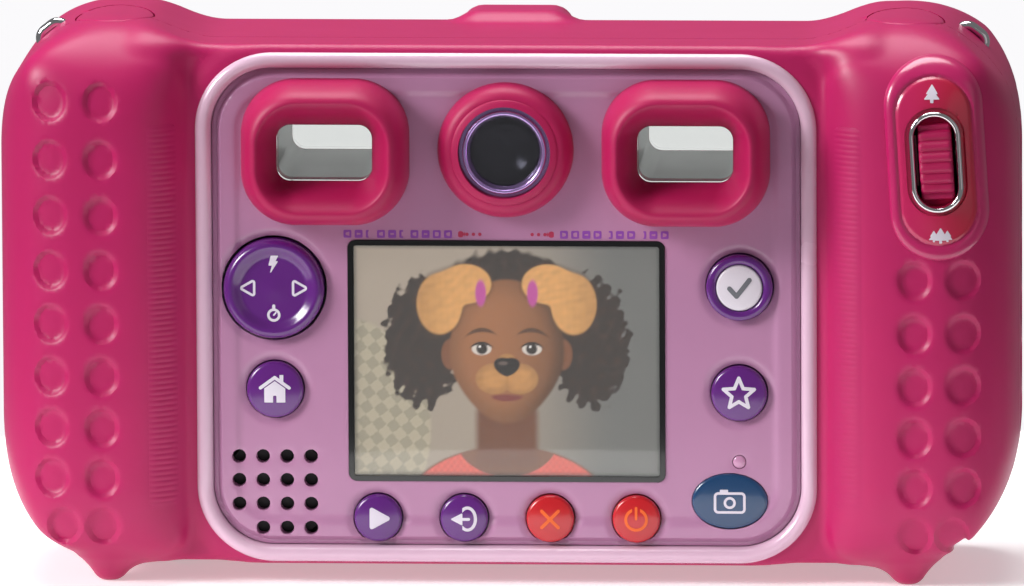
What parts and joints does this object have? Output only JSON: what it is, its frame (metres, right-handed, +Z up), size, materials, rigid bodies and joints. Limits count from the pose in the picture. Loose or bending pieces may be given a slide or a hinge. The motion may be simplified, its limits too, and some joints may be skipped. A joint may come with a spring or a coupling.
{
  "type": "kids digital camera",
  "caption": "Chunky child's digital camera with two hand grips, a rear screen, viewfinder eyecups and lenses on both sides.",
  "frame": {"origin": "on the table under the middle of the camera", "axes": "+X to the right seen from the screen side, +Y from the screen side to the front lens, +Z up"},
  "size_m": [0.16, 0.06, 0.089],
  "materials": {
    "pink_housing": "moulded ABS, semi-gloss",
    "lilac_plate": "moulded ABS, semi-gloss",
    "pale_rim": "moulded ABS, gloss",
    "pink_eyecup": "soft-touch elastomer",
    "purple_key": "moulded ABS, gloss",
    "red_key": "moulded ABS, gloss",
    "white_key": "moulded ABS, gloss",
    "zoom_panel_gloss": "gloss panel",
    "chrome_trim": "polished plating",
    "purple_metal": "purple vacuum metallised plastic",
    "lens_glass": "coated glass",
    "clear_window": "clear acrylic",
    "black_plastic": "matt black plastic",
    "screen_face": "liquid crystal screen",
    "badge_blue": "gloss badge",
    "silicone": "silicone rubber",
    "flap_rubber": "soft rubber flap",
    "circuit_board": "glass-fibre laminate",
    "grey_plastic": "matt grey plastic",
    "cell_sleeve": "printed sleeve",
    "nickel_steel": "nickel plated steel"
  },
  "bodies": {
    "camera_body": {"badge": "badge_blue", "battery_boxes": "grey_plastic", "battery_cells": "cell_sleeve", "battery_contacts": "nickel_steel", "eyepiece_left": "pink_eyecup", "eyepiece_right": "pink_eyecup", "eyepiece_windows": "clear_window", "face_plate": "lilac_plate", "face_rim": "pale_rim", "flash_led": "white_key", "flash_window": "clear_window", "front_fascia": "lilac_plate", "front_lens_barrel": "pink_eyecup", "front_lens_glass": "lens_glass", "front_lens_module": "black_plastic", "front_lens_ring": "purple_metal", "front_shell": "pink_housing", "front_windows": "clear_window", "housing_screws": "nickel_steel", "keypad": "silicone", "lcd_bezel": "black_plastic", "lcd_panel": "screen_face", "lcd_window": "clear_window", "main_board": "circuit_board", "nav_post": "grey_plastic", "port_board": "circuit_board", "rear_lens_bezel": "pink_eyecup", "rear_lens_glass": "lens_glass", "rear_lens_module": "black_plastic", "rear_lens_ring": "purple_metal", "rear_shell": "pink_housing", "shutter_switches": "grey_plastic", "speaker": "black_plastic", "status_led": "clear_window", "strap_lugs": "chrome_trim", "viewfinder_tunnels": "black_plastic", "zoom_axle": "nickel_steel", "zoom_panel": "zoom_panel_gloss", "zoom_ring": "chrome_trim"},
    "nav_gimbal": {"nav_gimbal": "grey_plastic"},
    "nav_pad": {"nav_pad": "purple_key"},
    "home_button": {"home_button": "purple_key"},
    "ok_button": {"ok_button": "purple_key", "ok_cap": "white_key"},
    "star_button": {"star_button": "purple_key"},
    "play_button": {"play_button": "purple_key"},
    "effects_button": {"effects_button": "purple_key"},
    "delete_button": {"delete_button": "red_key"},
    "power_button": {"power_button": "red_key"},
    "shutter_left": {"shutter_left": "pink_housing"},
    "shutter_right": {"shutter_right": "pink_housing"},
    "zoom_rocker": {"zoom_rocker": "pink_eyecup"},
    "battery_door_left": {"battery_door_left": "pink_housing", "door_screw_left": "nickel_steel", "door_contact_left": "nickel_steel"},
    "battery_door_right": {"battery_door_right": "pink_housing", "door_screw_right": "nickel_steel", "door_contact_right": "nickel_steel"},
    "connector_cover": {"connector_cover": "flap_rubber"}
  },
  "joints": [
    {"name": "home_button_press", "type": "slide", "parent": "camera_body", "child": "home_button", "axis": [0, 1, 0], "range_m": [0, 0.0008], "stiffness_N_per_m": 600, "springref_m": -0.0006},
    {"name": "ok_button_press", "type": "slide", "parent": "camera_body", "child": "ok_button", "axis": [0, 1, 0], "range_m": [0, 0.0008], "stiffness_N_per_m": 600, "springref_m": -0.0006},
    {"name": "star_button_press", "type": "slide", "parent": "camera_body", "child": "star_button", "axis": [0, 1, 0], "range_m": [0, 0.0008], "stiffness_N_per_m": 600, "springref_m": -0.0006},
    {"name": "play_button_press", "type": "slide", "parent": "camera_body", "child": "play_button", "axis": [0, 1, 0], "range_m": [0, 0.0008], "stiffness_N_per_m": 600, "springref_m": -0.0006},
    {"name": "effects_button_press", "type": "slide", "parent": "camera_body", "child": "effects_button", "axis": [0, 1, 0], "range_m": [0, 0.0008], "stiffness_N_per_m": 600, "springref_m": -0.0006},
    {"name": "delete_button_press", "type": "slide", "parent": "camera_body", "child": "delete_button", "axis": [0, 1, 0], "range_m": [0, 0.0008], "stiffness_N_per_m": 600, "springref_m": -0.0006},
    {"name": "power_button_press", "type": "slide", "parent": "camera_body", "child": "power_button", "axis": [0, 1, 0], "range_m": [0, 0.0008], "stiffness_N_per_m": 600, "springref_m": -0.0006},
    {"name": "shutter_left_press", "type": "slide", "parent": "camera_body", "child": "shutter_left", "axis": [0, 0, -1], "range_m": [0, 0.001], "stiffness_N_per_m": 700, "springref_m": -0.0008},
    {"name": "shutter_right_press", "type": "slide", "parent": "camera_body", "child": "shutter_right", "axis": [0, 0, -1], "range_m": [0, 0.001], "stiffness_N_per_m": 700, "springref_m": -0.0008},
    {"name": "nav_tilt_up_down", "type": "hinge", "parent": "camera_body", "child": "nav_gimbal", "pos_m": [-0.0364, -0.0196, 0.0468], "axis": [1, 0, 0], "range_deg": [-4, 4], "stiffness_Nm_per_rad": 0.05},
    {"name": "nav_tilt_left_right", "type": "hinge", "parent": "nav_gimbal", "child": "nav_pad", "pos_m": [-0.0364, -0.0196, 0.0468], "axis": [0, 0, 1], "range_deg": [-4, 4], "stiffness_Nm_per_rad": 0.05},
    {"name": "zoom_rock", "type": "hinge", "parent": "camera_body", "child": "zoom_rocker", "pos_m": [0.0675, -0.0184, 0.0683], "axis": [0.9981, 0, 0.061], "range_deg": [-12, 12], "stiffness_Nm_per_rad": 0.05},
    {"name": "battery_door_left_lift_off", "type": "slide", "parent": "camera_body", "child": "battery_door_left", "axis": [0, 0, -1], "range_m": [0, 0.03]},
    {"name": "battery_door_right_lift_off", "type": "slide", "parent": "camera_body", "child": "battery_door_right", "axis": [0, 0, -1], "range_m": [0, 0.03]},
    {"name": "connector_cover_swing", "type": "hinge", "parent": "camera_body", "child": "connector_cover", "pos_m": [0, 0.0052, 0.0042], "axis": [1, 0, 0], "range_deg": [0, 100]}
  ]
}
